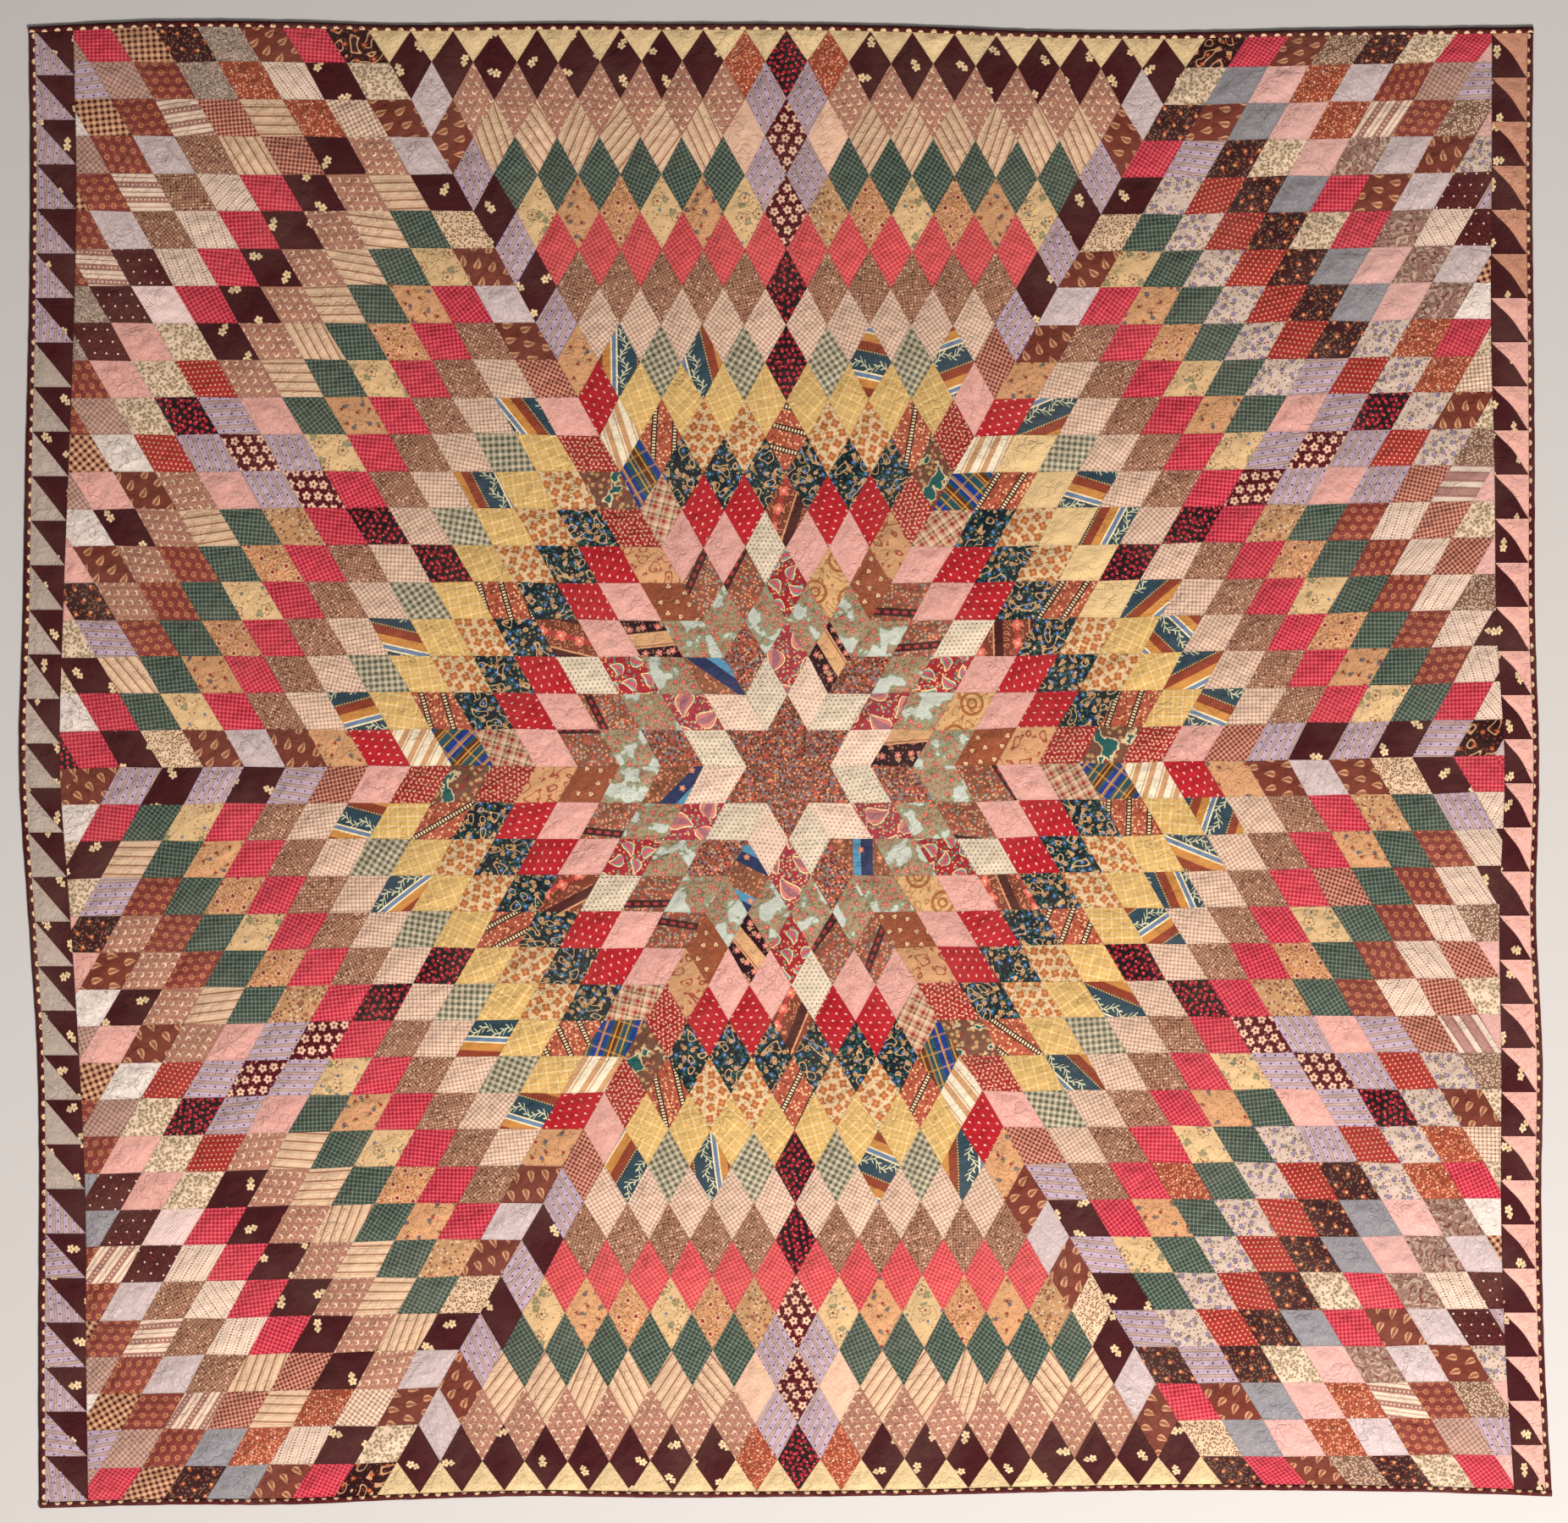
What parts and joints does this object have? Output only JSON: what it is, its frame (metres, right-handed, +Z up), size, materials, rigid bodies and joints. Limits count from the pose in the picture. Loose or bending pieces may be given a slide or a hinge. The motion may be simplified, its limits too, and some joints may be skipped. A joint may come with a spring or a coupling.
{
  "type": "star quilt blanket",
  "caption": "Pieced star quilt lying flat, with sawtooth side borders and a narrow bound edge, quilted into small puffs.",
  "frame": {"origin": "middle of the quilt's outline, on the surface that it lies on", "axes": "+X towards the quilt's right edge, +Y towards its upper edge, +Z up out of its face"},
  "size_m": [2.1722, 2.1086, 0.0074],
  "materials": {
    "pieced_calico": "washed printed cotton, quilted, matte",
    "sawtooth_calico": "washed printed cotton, quilted, matte",
    "binding_print": "folded printed cotton binding, matte"
  },
  "bodies": {
    "root": {"star_field": "pieced_calico", "sawtooth_left": "sawtooth_calico", "sawtooth_right": "sawtooth_calico", "binding_top": "binding_print", "binding_bottom": "binding_print", "binding_left": "binding_print", "binding_right": "binding_print"}
  },
  "joints": []
}
